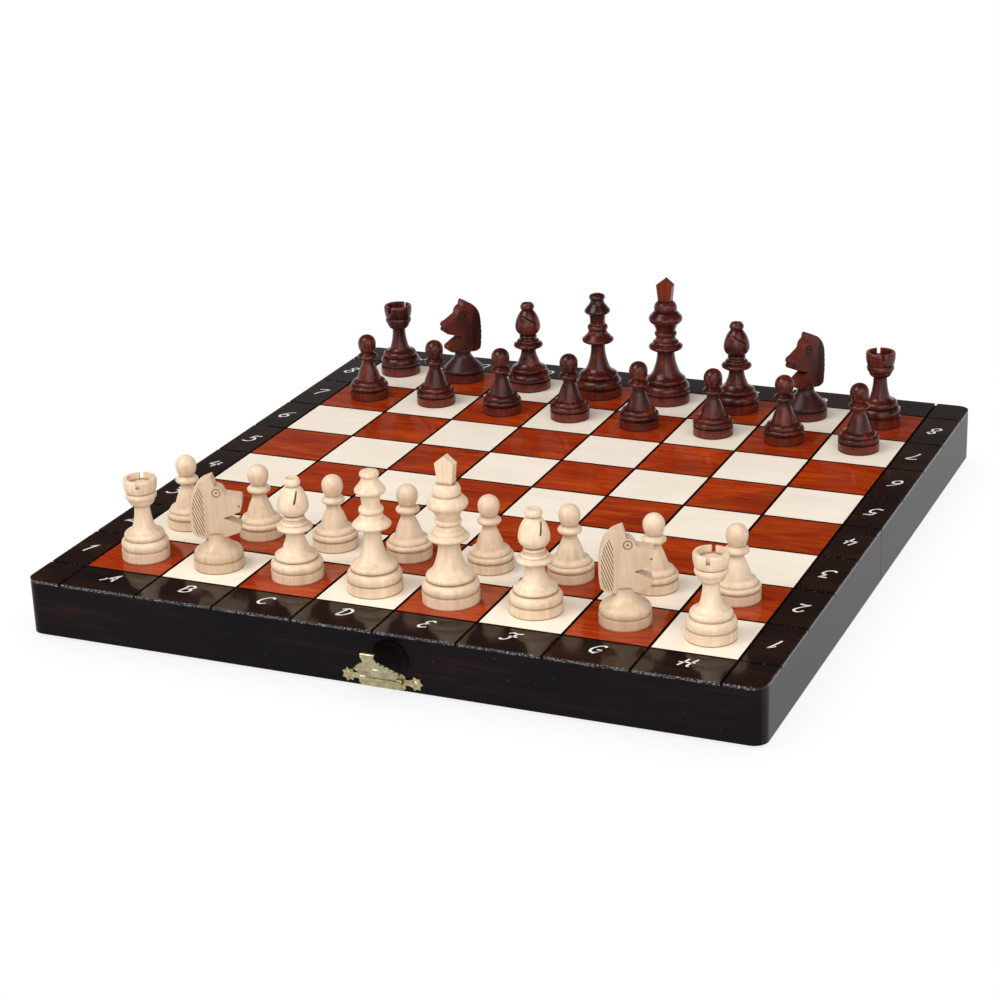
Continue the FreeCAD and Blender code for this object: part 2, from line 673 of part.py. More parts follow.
def stand(name, man, file_index, rank_index):
    """Saves a man set on its square and turned about its own axis."""
    placed = man.copy()
    placed.rotate(origin, along_z, man_turns.get(name, 0))
    x_share, y_share = placing_shares.get(name, (0, 0))
    x = (line(file_index) + line(file_index + 1)) / 2 + x_share * square_pitch
    y = (line(rank_index) + line(rank_index + 1)) / 2 + y_share * square_pitch
    placed.translate(Vector(x, y, case_height))
    save(name, [placed])


def set_out(colour, home_rank, pawn_rank):
    """One side's sixteen men, each its own piece."""
    files = "abcdefgh"
    row = (rook, knight, bishop, queen, king, bishop, knight, rook)
    white = colour == "white"
    made = {kind: kind(white) for kind in row}
    for index, kind in enumerate(row):
        name = colour + "_" + kind.__name__
        if row.count(kind) > 1:
            name += "_" + files[index]
        stand(name, made[kind], index, home_rank)
    small = pawn(white)
    for index, letter in enumerate(files):
        stand(colour + "_pawn_" + letter, small, index, pawn_rank)


# Pieces of each half
hinge_middles = (-hinge_spacing / 2, hinge_spacing / 2)
for side, half in ((front, "front"), (back, "back")):
    parts = walls(side)
    nails = [nail for middle in hinge_middles for nail in leaf_nails(side, middle)]
    leaves = [leaf(side, middle).cut(Part.makeCompound(nails)) for middle in hinge_middles]
    spine = parts["spine"].cut(Part.makeCompound([leaf_seat(side, middle) for middle in hinge_middles]))
    outer = parts["outer"]
    if side == front:
        radius = (recess_diameter ** 2 / 4 + recess_depth ** 2) / (2 * recess_depth)
        dish = Vector(recess_from_middle, -half_depth + recess_depth - radius, recess_height)
        outer = outer.cut(Part.makeSphere(radius, dish)).cut(Part.makeCompound(clasp_nails()))
    else:
        outer = outer.cut(Part.makeCompound(catch_nails()))
    save(half + "_panel", [panel(side)])
    save(half + "_outer_wall", [outer])
    save(half + "_left_wall", [parts["left"]])
    save(half + "_right_wall", [parts["right"]])
    save(half + "_spine_wall", [spine.cut(Part.makeCompound(nails))])
    save(half + "_dark_squares", squares(side, 0))
    save(half + "_light_squares", squares(side, 1))
    save(half + "_border_cells", border(side))
    save(half + "_hinge_leaves", leaves)
    save(half + "_hinge_nails", nails)
pin_spans = [(middle - leaf_length / 2, middle + leaf_length / 2) for middle in hinge_middles]
save("hinge_pins", [rod(hinge_pin_radius, span, 0, 0) for span in pin_spans])

# Clasp and catch
save("clasp_base", [clasp_base()])
save("clasp_nails", clasp_nails())
save("clasp_pin", [clasp_pin()])
save("clasp_tongue", [clasp_tongue()])
save("catch_plate", [catch()])
save("catch_nails", catch_nails())

# Men of both sides
set_out("white", 0, 1)
set_out("black", squares_per_side - 1, squares_per_side - 2)
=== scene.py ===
import json
import math

import bmesh
import bpy
from mathutils import Matrix, Vector


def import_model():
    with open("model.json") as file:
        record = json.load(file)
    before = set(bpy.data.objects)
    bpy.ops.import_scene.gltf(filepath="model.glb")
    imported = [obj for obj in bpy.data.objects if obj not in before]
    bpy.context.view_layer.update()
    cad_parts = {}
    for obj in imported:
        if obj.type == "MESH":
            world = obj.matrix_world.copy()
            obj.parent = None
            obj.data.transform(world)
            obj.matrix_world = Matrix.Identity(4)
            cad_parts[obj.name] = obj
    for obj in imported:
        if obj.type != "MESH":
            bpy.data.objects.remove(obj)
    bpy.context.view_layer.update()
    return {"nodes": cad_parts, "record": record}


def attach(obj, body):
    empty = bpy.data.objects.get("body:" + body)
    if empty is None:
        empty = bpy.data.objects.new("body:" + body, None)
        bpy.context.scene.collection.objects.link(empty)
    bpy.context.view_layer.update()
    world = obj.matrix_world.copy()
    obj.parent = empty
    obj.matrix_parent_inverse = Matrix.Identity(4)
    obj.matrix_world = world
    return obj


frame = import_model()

# Sizes of the board, in metres
square_pitch = 0.030
squares_per_side = 8
side_border = 0.014
end_border = 0.0175
case_height = 0.020
field_half = square_pitch * squares_per_side / 2
front, back = -1, 1

# Camera, found from the corners of the squares
camera_azimuth = math.radians(23.890)
camera_elevation = math.radians(21.352)
camera_roll = math.radians(-2.087)
camera_distance = 0.909258
camera_target = Vector((-0.006105, -0.016107, 0.020))
camera_lens_mm = 88.495
camera_sensor_mm = 36.0
camera_clip = 0.01

# Painted letters and digits
letter_height = 0.0056
letter_shift = 0.0022
digit_height = 0.0066
glyph_slant = 0.22
glyph_middle_shares = (0.35, 0.5)
pen_narrow = 0.00042
pen_wide = 0.00095
pen_angle = math.radians(35)
paint_rise = 0.00004
curve_steps = 7

# Ribs pressed into the clasp's tongue
tongue_axis = Vector((0.0032, -0.1385, 0.0034))
tongue_lean = math.radians(38)
tongue_length = 0.0153
tongue_half_width = 0.0081
tongue_thickness = 0.0005
rib_half_width = 0.00018
rib_height = 0.00012
rib_foot = 0.0026
rib_foot_share, rib_side_share, rib_tip_share = 0.45, 0.96, 0.97
rib_width_shares = ((0.0, 0.3), (0.3, 1.0), (0.8, 1.0), (1.0, 0.3))
rib_end_shares = (
    (0.92, 0.360), (0.82, 0.470), (0.68, 0.570), (0.53, 0.660), (0.37, 0.740), (0.22, 0.830),
)

# Sizes of the painted glints along the board's outer edge and of the painted shade in creases, hollows and
# round the men's feet
glint_edge_band = 0.0005
crease_shade_reach = 0.0014
foot_shade_line = 0.0005

# Floor and lights
floor_half = 3.0
floor_level = -0.0012
shadow_reach = 0.03
shadow_span = (0.2, 0.85)
shadow_depth = 0.86
plain_white = (1.0, 1.0, 1.0, 1.0)
sky_light = (0.50, 0.50, 0.51, 1.0)
sky_fade = (0.12, 0.355)
ceiling_share = 0.03
lamp_aim = (0, 0, case_height)
lamps = (
    ("key", (-0.55, -0.55, 0.95), 0.7, 8.3, (1.0, 0.985, 0.96)),
    ("front", (0.25, -0.90, 0.45), 0.8, 3.6, (1.0, 0.99, 0.97)),
    ("fill", (0.75, -0.5, 0.7), 0.8, 3.5, (0.97, 0.985, 1.0)),
)

strokes = {
    "A": (((-0.18, -0.05), (0.22, 0.42), (0.62, 1.0)), ((0.62, 1.0), (0.60, 0.5), (0.64, 0.0)),
          ((-0.02, 0.33), (0.35, 0.36), (0.72, 0.40))),
    "B": (((0.12, 0.95), (0.08, 0.5), (0.0, 0.0)),
          ((-0.04, 0.88), (0.30, 1.0), (0.60, 0.84), (0.48, 0.60), (0.18, 0.52)),
          ((0.18, 0.52), (0.55, 0.48), (0.62, 0.20), (0.35, 0.0), (0.0, 0.05))),
    "C": (((0.72, 0.80), (0.60, 0.98), (0.30, 0.92), (0.05, 0.55), (0.08, 0.15), (0.35, 0.0),
           (0.62, 0.14)),),
    "D": (((0.22, 0.95), (0.15, 0.5), (0.05, 0.02)),
          ((-0.08, 0.86), (0.30, 1.0), (0.65, 0.80), (0.68, 0.40), (0.42, 0.06), (0.05, 0.02))),
    "E": (((0.68, 0.88), (0.45, 1.0), (0.22, 0.85), (0.25, 0.62), (0.48, 0.54)),
          ((0.48, 0.54), (0.15, 0.45), (0.02, 0.20), (0.20, 0.0), (0.55, 0.12))),
    "F": (((0.0, 0.85), (0.20, 1.0), (0.50, 0.92), (0.85, 1.0)),
          ((0.55, 0.93), (0.42, 0.5), (0.25, 0.08), (0.0, 0.0), (-0.08, 0.15)),
          ((0.20, 0.48), (0.45, 0.52), (0.72, 0.48))),
    "G": (((0.70, 0.85), (0.50, 1.0), (0.20, 0.85), (0.02, 0.45), (0.15, 0.08), (0.45, 0.05), (0.62, 0.30)),
          ((0.35, 0.42), (0.68, 0.42)), ((0.65, 0.42), (0.55, 0.10), (0.35, -0.12))),
    "H": (((0.28, 0.95), (0.20, 0.5), (0.05, 0.0)), ((0.80, 1.0), (0.65, 0.5), (0.60, 0.05), (0.75, 0.0)),
          ((-0.10, 0.42), (0.30, 0.50), (0.60, 0.46), (0.85, 0.55))),
    "1": (((0.15, 0.70), (0.45, 1.0)), ((0.45, 1.0), (0.30, 0.5), (0.20, 0.0))),
    "2": (((0.10, 0.75), (0.30, 0.98), (0.58, 0.85), (0.50, 0.50), (0.05, 0.02)),
          ((0.05, 0.02), (0.30, 0.08), (0.65, 0.02))),
    "3": (((0.15, 0.95), (0.40, 0.92), (0.62, 0.98)), ((0.62, 0.98), (0.32, 0.60)),
          ((0.32, 0.60), (0.60, 0.45), (0.50, 0.08), (0.20, 0.0), (0.0, 0.15))),
    "4": (((0.30, 0.95), (0.05, 0.40)), ((0.05, 0.40), (0.35, 0.38), (0.70, 0.42)),
          ((0.60, 0.80), (0.50, 0.40), (0.40, 0.0))),
    "5": (((0.70, 0.98), (0.50, 0.93), (0.28, 0.95)), ((0.28, 0.95), (0.15, 0.55)),
          ((0.15, 0.55), (0.45, 0.62), (0.58, 0.30), (0.35, 0.02), (0.0, 0.08))),
    "6": (((0.62, 0.98), (0.25, 0.70), (0.05, 0.30), (0.22, 0.0), (0.50, 0.15), (0.50, 0.42), (0.25, 0.48),
           (0.08, 0.30)),),
    "7": (((0.05, 0.90), (0.35, 0.98), (0.72, 0.95)), ((0.72, 0.95), (0.40, 0.5), (0.25, 0.0))),
    "8": (((0.60, 0.80), (0.38, 1.0), (0.18, 0.80), (0.40, 0.52), (0.55, 0.22), (0.28, 0.0), (0.05, 0.20),
           (0.30, 0.50), (0.60, 0.80)),),
}


# Small helpers for shaders
def tone(red, green, blue):
    """A colour given as it looks on a screen, from 0 to 255."""
    def linear(value):
        part = value / 255
        return part / 12.92 if part <= 0.04045 else ((part + 0.055) / 1.055) ** 2.4
    return (linear(red), linear(green), linear(blue), 1.0)


class Shader:
    """A material being built: adds nodes and links them."""

    def __init__(self, name):
        self.material = bpy.data.materials.new(name)
        self.material.use_nodes = True
        self.tree = self.material.node_tree
        self.surface = self.tree.nodes["Principled BSDF"]
        self.place = self.add("TexCoord").outputs["Object"]

    def add(self, kind, values=None, links=None, **settings):
        """A node with its settings, its plain values and what feeds it."""
        made = self.tree.nodes.new("ShaderNode" + kind)
        for name, value in settings.items():
            setattr(made, name, value)
        for name, value in (values or {}).items():
            made.inputs[name].default_value = value
        for name, source in (links or {}).items():
            self.tree.links.new(source, made.inputs[name])
        return made

    def feed(self, name, source):
        """Links a value to the surface's own input."""
        self.tree.links.new(source, self.surface.inputs[name])

    def fix(self, **values):
        """Sets plain values on the surface: roughness=0.3, coat_weight=0.2 and so on."""
        names = {"specular": "Specular IOR Level", "coat_weight": "Coat Weight", "roughness": "Roughness",
                 "coat_roughness": "Coat Roughness", "metallic": "Metallic"}
        for name, value in values.items():
            self.surface.inputs[names[name]].default_value = value

    def noise(self, scales, detail=3.0, rough=0.55, distortion=0.0):
        """Noise with its own scale along each axis, in cycles per metre."""
        mapping = self.add("Mapping", {"Scale": scales}, {"Vector": self.place})
        values = {"Scale": 1.0, "Detail": detail, "Roughness": rough, "Distortion": distortion}
        return self.add("TexNoise", values, {"Vector": mapping.outputs["Vector"]}).outputs["Fac"]

    def math(self, operation, first, second):
        """Arithmetic on two values, each a socket or a number."""
        made = self.add("Math", operation=operation)
        for index, value in enumerate((first, second)):
            if isinstance(value, (int, float)):
                made.inputs[index].default_value = value
            else:
                self.tree.links.new(value, made.inputs[index])
        return made.outputs["Value"]

    def span(self, value, low, high, new_low=0.0, new_high=1.0):
        """A value taken from one range to another and held there."""
        values = {"From Min": low, "From Max": high, "To Min": new_low, "To Max": new_high}
        return self.add("MapRange", values, {"Value": value}).outputs["Result"]

    def ramp(self, value, *stops):
        """Colours along a value, as pairs of place and colour."""
        made = self.add("ValToRGB", links={"Fac": value})
        points = made.color_ramp.elements
        while len(points) < len(stops):
            points.new(0.5)
        for point, (where, colour) in zip(points, stops):
            point.position = where
            point.color = colour
        return made.outputs["Color"]

    def mix(self, share, first, second, blend="MIX"):
        """Two colours mixed by a share, each a socket or a fixed colour."""
        made = self.add("Mix", data_type="RGBA", blend_type=blend)
        for index, value in ((0, share), (6, first), (7, second)):
            if isinstance(value, (int, float, tuple)):
                made.inputs[index].default_value = value
            else:
                self.tree.links.new(value, made.inputs[index])
        return made.outputs[2]

    def bump(self, height, strength, distance):
        """Relief from a height, in metres at most."""
        made = self.add("Bump", {"Strength": strength, "Distance": distance}, {"Height": height})
        self.feed("Normal", made.outputs["Normal"])

    def island(self):
        """A steady random value for each separate tile."""
        return self.add("NewGeometry").outputs["Random Per Island"]

    def upright(self):
        """1 on faces that stand upright, 0 on those that lie flat."""
        normal = self.add("NewGeometry").outputs["Normal"]
        parts = self.add("SeparateXYZ", links={"Vector": normal})
        level = self.math("ABSOLUTE", parts.outputs["Z"], 0.0)
        return self.span(level, 0.75, 0.35)


# Materials
def dark_sides(shader, colour, stain, glint_tone, amount):
    """Black stain down the sides of the sawn grooves, with a few bright specks of painted glint in it."""
    side = shader.upright()
    colour = shader.mix(side, colour, stain)
    # Painted glints: a few bright specks on the upright sides
    glint_spots = shader.noise((1500.0, 1500.0, 1500.0), detail=2.0, rough=0.7)
    glint_spots = shader.span(glint_spots, 0.56, 0.68, 0.0, amount)
    return shader.mix(shader.math("MULTIPLY", glint_spots, side), colour, glint_tone)


def outer_edge(shader):
    """How far a point lies in the board's outer edge band, where painted glints go: at the front or back,
    and at the sides.
    """
    parts = shader.add("SeparateXYZ", links={"Vector": shader.place})
    bands = []
    for axis, border in (("Y", end_border), ("X", side_border)):
        edge = field_half + border
        away = shader.math("ABSOLUTE", parts.outputs[axis], 0.0)
        bands.append(shader.span(away, edge - glint_edge_band, edge - glint_edge_band / 2))
    return bands


def painted_crease_shade(shader, colour, dark, amount):
    """Painted shade in the turned creases and in a thin painted shade line round the foot."""
    # Painted shade: the colour darkens towards the given tone where ambient occlusion finds close surfaces
    # of the same man, in the creases
    shade_nearness = shader.add("AmbientOcclusion", {"Distance": crease_shade_reach}, only_local=True, samples=8)
    colour = shader.mix(shader.span(shade_nearness.outputs["AO"], 0.90, 0.50, 0.0, amount), colour, dark)
    # Painted shade: a thin dark line just above the board, round the foot
    height = shader.add("SeparateXYZ", links={"Vector": shader.place}).outputs["Z"]
    foot = shader.span(height, case_height + foot_shade_line, case_height + foot_shade_line / 2, 0.0, amount)
    return shader.mix(foot, colour, dark)


def dark_square():
    shader = Shader("mahogany_veneer")
    streaks = shader.noise((70.0, 1900.0, 60.0), detail=4.0, rough=0.65, distortion=0.4)
    figure = shader.noise((30.0, 150.0, 40.0), detail=3.0, rough=0.55, distortion=0.8)
    pores = shader.noise((300.0, 5200.0, 260.0), detail=2.0, rough=0.6)
    colour = shader.ramp(
        shader.math("ADD", shader.math("MULTIPLY", streaks, 0.6), shader.math("MULTIPLY", figure, 0.4)),
        (0.32, tone(116, 28, 5)), (0.50, tone(156, 48, 8)), (0.68, tone(192, 80, 20)),
    )
    shade = shader.span(shader.island(), 0.0, 1.0, 0.86, 1.10)
    grey = shader.add("CombineColor", links={"Red": shade, "Green": shade, "Blue": shade}).outputs["Color"]
    colour = shader.mix(1.0, colour, grey, "MULTIPLY")
    colour = shader.mix(shader.span(pores, 0.58, 0.72, 0.0, 0.5), colour, tone(84, 16, 5))
    # The last colour is the painted glint on the groove sides
    shader.feed("Base Color", dark_sides(shader, colour, tone(26, 12, 9), tone(120, 92, 84), 0.20))
    shader.bump(streaks, 0.02, 0.0002)
    shader.fix(roughness=0.09, specular=0.28)
    return shader.material


def light_square():
    shader = Shader("pale_veneer")
    streaks = shader.noise((40.0, 1100.0, 60.0), detail=4.0, rough=0.6, distortion=0.3)
    figure = shader.noise((30.0, 90.0, 40.0), detail=2.0, rough=0.5, distortion=0.6)
    colour = shader.ramp(
        shader.math("ADD", shader.math("MULTIPLY", streaks, 0.45), shader.math("MULTIPLY", figure, 0.55)),
        (0.28, tone(238, 224, 205)), (0.52, tone(244, 231, 214)), (0.75, tone(249, 239, 224)),
    )
    # The last colour is the painted glint on the groove sides
    shader.feed("Base Color", dark_sides(shader, colour, tone(30, 17, 12), tone(150, 130, 112), 0.20))
    shader.bump(streaks, 0.015, 0.0002)
    shader.fix(roughness=0.12, specular=0.28)
    return shader.material


def border_stain():
    shader = Shader("stained_border")
    streaks = shader.noise((70.0, 1100.0, 70.0), detail=4.0, rough=0.6, distortion=0.5)
    figure = shader.noise((20.0, 60.0, 40.0), detail=3.0, rough=0.5, distortion=0.6)
    colour = shader.ramp(
        shader.math("ADD", shader.math("MULTIPLY", streaks, 0.4), shader.math("MULTIPLY", figure, 0.6)),
        (0.30, tone(18, 10, 8)), (0.52, tone(33, 19, 14)), (0.74, tone(60, 35, 23)),
    )
    # The last colour is the painted glint on the groove sides
    colour = dark_sides(shader, colour, tone(15, 11, 11), tone(150, 146, 144), 0.35)
    # Painted glints: bright grey specks along the outer top edge, denser at the front and back, sparser at
    # the sides
    ends, sides = outer_edge(shader)
    glint_spots = shader.noise((1500.0, 1500.0, 3000.0), detail=4.0, rough=0.8)
    end_glints = shader.math("MULTIPLY", shader.span(glint_spots, 0.53, 0.62, 0.0, 0.9), ends)
    side_glints = shader.math("MULTIPLY", shader.span(glint_spots, 0.54, 0.66, 0.0, 0.8), sides)
    colour = shader.mix(shader.math("MAXIMUM", end_glints, side_glints), colour, tone(176, 174, 180))
    shader.feed("Base Color", colour)
    shader.bump(streaks, 0.03, 0.0002)
    shader.fix(roughness=0.10, specular=0.20)
    return shader.material


def case_wall(name, gloss):
    shader = Shader(name)
    streaks = shader.noise((45.0, 45.0, 900.0), detail=4.0, rough=0.6, distortion=0.5)
    figure = shader.noise((14.0, 14.0, 120.0), detail=3.0, rough=0.6, distortion=0.8)
    dust = shader.noise((1100.0, 1100.0, 1100.0), detail=1.0, rough=0.5)
    colour = shader.ramp(
        shader.math("ADD", shader.math("MULTIPLY", streaks, 0.5), shader.math("MULTIPLY", figure, 0.5)),
        (0.35, tone(11, 9, 12)), (0.55, tone(19, 14, 17)), (0.75, tone(44, 22, 19)),
    )
    colour = shader.mix(shader.span(dust, 0.76, 0.82, 0.0, 0.3), colour, tone(120, 112, 112))
    shader.feed("Base Color", colour)
    shader.bump(streaks, 0.10, 0.0003)
    shader.fix(roughness=0.32, specular=gloss)
    return shader.material


def core_board():
    shader = Shader("core_board")
    fibres = shader.noise((300.0, 60.0, 300.0), detail=4.0, rough=0.6, distortion=0.4)
    colour = shader.ramp(fibres, (0.3, tone(15, 10, 9)), (0.7, tone(32, 21, 17)))
    shader.feed("Base Color", colour)
    shader.bump(fibres, 0.2, 0.0002)
    shader.fix(roughness=0.6, specular=0.1)
    return shader.material


def pale_wood(name, low, middle, high):
    shader = Shader(name)
    grain = shader.noise((560.0, 560.0, 45.0), detail=4.0, rough=0.6, distortion=0.3)
    clouds = shader.noise((90.0, 90.0, 40.0), detail=3.0, rough=0.5, distortion=0.5)
    flecks = shader.noise((1500.0, 1500.0, 200.0), detail=2.0, rough=0.6)
    lathe = shader.noise((60.0, 60.0, 2600.0), detail=2.0, rough=0.6)
    colour = shader.ramp(
        shader.math("ADD", shader.math("MULTIPLY", grain, 0.55), shader.math("MULTIPLY", clouds, 0.45)),
        (0.32, low), (0.52, middle), (0.72, high),
    )
    colour = shader.mix(shader.span(flecks, 0.64, 0.78, 0.0, 0.35), colour, tone(182, 152, 114))
    # Painted shade in a brown tone, in the creases and round the foot
    shader.feed("Base Color", painted_crease_shade(shader, colour, tone(136, 98, 60), 0.85))
    shader.bump(shader.math("ADD", lathe, grain), 0.08, 0.0003)
    shader.fix(roughness=0.30, specular=0.35)
    return shader.material


def dark_wood(name, low, middle, high, sheen):
    shader = Shader(name)
    grain = shader.noise((700.0, 700.0, 70.0), detail=4.0, rough=0.6, distortion=0.4)
    clouds = shader.noise((80.0, 80.0, 110.0), detail=3.0, rough=0.55, distortion=0.6)
    lacquer = shader.noise((1900.0, 1900.0, 1900.0), detail=2.0, rough=0.6)
    colour = shader.ramp(
        shader.math("ADD", shader.math("MULTIPLY", grain, 0.45), shader.math("MULTIPLY", clouds, 0.55)),
        (0.34, low), (0.50, middle), (0.68, high),
    )
    worn = shader.add("NewGeometry").outputs["Pointiness"]
    colour = shader.mix(shader.span(worn, 0.515, 0.58, 0.0, 0.35), colour, tone(132, 50, 28))
    # Painted shade in near-black, in the creases and round the foot
    shader.feed("Base Color", painted_crease_shade(shader, colour, tone(14, 5, 5), 0.85))
    shader.bump(shader.math("ADD", lacquer, grain), 0.16, 0.0003)
    shader.fix(roughness=sheen, specular=0.34)
    return shader.material


def brass():
    shader = Shader("pale_brass")
    tarnish = shader.noise((420.0, 420.0, 420.0), detail=4.0, rough=0.6, distortion=0.3)
    scratches = shader.noise((5000.0, 900.0, 900.0), detail=2.0, rough=0.6)
    colour = shader.ramp(
        tarnish, (0.30, tone(140, 128, 94)), (0.50, tone(170, 158, 122)), (0.72, tone(198, 188, 154)),
    )
    # Painted shade: the brass darkens where ambient occlusion finds close surfaces, in the clasp's hollows
    # and where it meets other parts
    shade_nearness = shader.add("AmbientOcclusion", {"Distance": crease_shade_reach}, samples=8)
    colour = shader.mix(shader.span(shade_nearness.outputs["AO"], 0.8, 0.3, 0.0, 0.7), colour, tone(84, 72, 48))
    shader.feed("Base Color", colour)
    shader.feed("Roughness", shader.span(scratches, 0.3, 0.7, 0.24, 0.42))
    shader.bump(tarnish, 0.10, 0.0002)
    shader.fix(metallic=1.0)
    return shader.material


def white_paint():
    shader = Shader("white_paint")
    wear = shader.noise((2400.0, 2400.0, 2400.0), detail=3.0, rough=0.6)
    shader.feed("Base Color", shader.ramp(wear, (0.30, tone(196, 192, 184)), (0.55, tone(238, 236, 230))))
    shader.fix(roughness=0.4, specular=0.2)
    return shader.material


# Finishes of the CAD pieces, by material slot and for some nodes by a word in their name
finishes = {
    "case_wall": case_wall("stained_wall", 0.06),
    "border_stain": border_stain(),
    "core_board": core_board(),
    "dark_square": dark_square(),
    "light_square": light_square(),
    "brass": brass(),
    "white_men": pale_wood(
        "pale_turned_wood", tone(203, 175, 143), tone(224, 199, 170), tone(236, 215, 188),
    ),
    "black_men": dark_wood(
        "dark_turned_wood", tone(34, 9, 8), tone(66, 21, 15), tone(116, 42, 21), 0.22,
    ),
}
side_wall = case_wall("glossy_side_wall", 0.15)
own_finishes = {
    "left_wall": side_wall,
    "right_wall": side_wall,
    "white_knight": pale_wood(
        "pale_sawn_wood", tone(184, 155, 125), tone(203, 177, 148), tone(216, 192, 165),
    ),
    "black_knight": dark_wood(
        "dark_sawn_wood", tone(36, 13, 12), tone(54, 21, 19), tone(72, 30, 26), 0.34,
    ),
}
edge_widths = {
    "case_wall": 0.00045, "border_stain": 0.00030, "dark_square": 0.00014, "light_square": 0.00014,
    "white_men": 0.00016, "black_men": 0.00016, "brass": 0.00008,
}
sharp_angle = math.radians(38)
edge_segments = 2


def dress(node, slot_name):
    """Gives a CAD node its finish and softens its sharp edges."""
    own = [finish for word, finish in own_finishes.items() if word in node.name]
    node.data.materials.clear()
    node.data.materials.append(own[0] if own else finishes[slot_name])
    if slot_name in edge_widths:
        soft = node.modifiers.new("soft_edges", "BEVEL")
        soft.width = edge_widths[slot_name]
        soft.segments = edge_segments
        soft.limit_method = "ANGLE"
        soft.angle_limit = sharp_angle
        soft.harden_normals = False


for part in frame["record"]["subparts"]:
    dress(frame["nodes"][part["node"]], part["material_slot"])


# Painted letters and digits
def smooth(points):
    """A soft line through the points of a stroke."""
    padded = [points[0]] + list(points) + [points[-1]]
    line = []
    for before, start, end, after in zip(padded, padded[1:], padded[2:], padded[3:]):
        for step in range(curve_steps):
            t = step / curve_steps
            line.append(tuple(
                0.5 * (2 * b + (c - a) * t + (2 * a - 5 * b + 4 * c - d) * t ** 2
                       + (3 * b - a - 3 * c + d) * t ** 3)
                for a, b, c, d in zip(before, start, end, after)
            ))
    return line + [points[-1]]


def write_glyph(mesh, glyph, middle, height, turned):
    """Adds one glyph's strokes to a mesh, as ribbons drawn with a slanted pen."""
    way = -1 if turned else 1
    middle_x, middle_y = glyph_middle_shares
    for stroke in strokes[glyph]:
        line = []
        for x, y in smooth(stroke):
            across = (x - middle_x + glyph_slant * (y - middle_y)) * height
            up = (y - middle_y) * height
            line.append(Vector((middle.x + way * across, middle.y + way * up, middle.z)))
        rows = []
        for index, point in enumerate(line):
            ahead = line[min(index + 1, len(line) - 1)] - line[max(index - 1, 0)]
            angle = math.atan2(way * ahead.y, way * ahead.x)
            half = (pen_narrow + (pen_wide - pen_narrow) * abs(math.sin(angle - pen_angle))) / 2
            side = Vector((-ahead.y, ahead.x, 0)).normalized() * half
            rows.append((mesh.verts.new(point - side), mesh.verts.new(point + side)))
        for one, two in zip(rows, rows[1:]):
            mesh.faces.new((one[0], two[0], two[1], one[1]))


def painted_row(name, glyphs, places, height, turned, body):
    """One row of painted glyphs that moves with its half of the case."""
    mesh = bmesh.new()
    for glyph, place in zip(glyphs, places):
        write_glyph(mesh, glyph, place, height, turned)
    data = bpy.data.meshes.new(name)
    mesh.to_mesh(data)
    mesh.free()
    row = bpy.data.objects.new(name, data)
    bpy.context.scene.collection.objects.link(row)
    data.materials.append(paint)
    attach(row, body)


def middle_of(index):
    """The middle of a square along a side of the field."""
    return (index + 0.5) * square_pitch - field_half


paint = white_paint()
paint_level = case_height + paint_rise
half_count = squares_per_side // 2
halves = (
    (front, "front", range(half_count)),
    (back, "back", range(half_count, squares_per_side)),
)
for side, half, ranks in halves:
    end_middle = side * (field_half + end_border / 2 - letter_shift)
    places = [Vector((middle_of(i), end_middle, paint_level)) for i in range(squares_per_side)]
    painted_row(half + "_letters", "ABCDEFGH", places, letter_height, side == back, half + "_half")
    digits = [str(i + 1) for i in ranks]
    for way, edge in ((-1, "left"), (1, "right")):
        across = way * (field_half + side_border / 2)
        places = [Vector((across, middle_of(i), paint_level)) for i in ranks]
        painted_row(half + "_" + edge + "_digits", digits, places, digit_height, way == 1, half + "_half")


# Ribs of the clasp's tongue
def tongue_point(across, up, out):
    """A point on the leaning tongue, from its pivot."""
    lean = Matrix.Rotation(tongue_lean, 3, "X")
    return tongue_axis + lean @ Vector((across, -tongue_thickness / 2 - out, up))


def tongue_ribs():
    """A fan of pressed ribs on the tongue's outer face."""
    mesh = bmesh.new()
    ends = [(way * x * tongue_half_width, z * tongue_length) for x, z in rib_end_shares for way in (-1, 1)]
    for across, up in ends:
        start = Vector((across * rib_foot_share, rib_foot))
        end = Vector((across * rib_side_share, up * rib_tip_share))
        side = (end - start).orthogonal().normalized() * rib_half_width
        rows = []
        for along, size in rib_width_shares:
            point = start.lerp(end, along)
            left, right = point - side * size, point + side * size
            rows.append([
                mesh.verts.new(tongue_point(left.x, left.y, 0.0)),
                mesh.verts.new(tongue_point(point.x, point.y, rib_height * size)),
                mesh.verts.new(tongue_point(right.x, right.y, 0.0)),
            ])
        for one, two in zip(rows, rows[1:]):
            for k in (0, 1):
                mesh.faces.new((one[k], one[k + 1], two[k + 1], two[k]))
    bmesh.ops.recalc_face_normals(mesh, faces=mesh.faces)
    data = bpy.data.meshes.new("tongue_ribs")
    mesh.to_mesh(data)
    mesh.free()
    ribs = bpy.data.objects.new("tongue_ribs", data)
    bpy.context.scene.collection.objects.link(ribs)
    data.materials.append(finishes["brass"])
    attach(ribs, "clasp_tongue")


tongue_ribs()


# Floor, light and camera
def white_for_view(tree):
    """1 for rays that show the background: straight, mirrored and through glass."""
    path = tree.nodes.new("ShaderNodeLightPath")
    total = path.outputs["Is Camera Ray"]
    for name in ("Is Glossy Ray", "Is Transmission Ray"):
        join = tree.nodes.new("ShaderNodeMath")
        join.operation = "MAXIMUM"
        tree.links.new(total, join.inputs[0])
        tree.links.new(path.outputs[name], join.inputs[1])
        total = join.outputs[0]
    return total


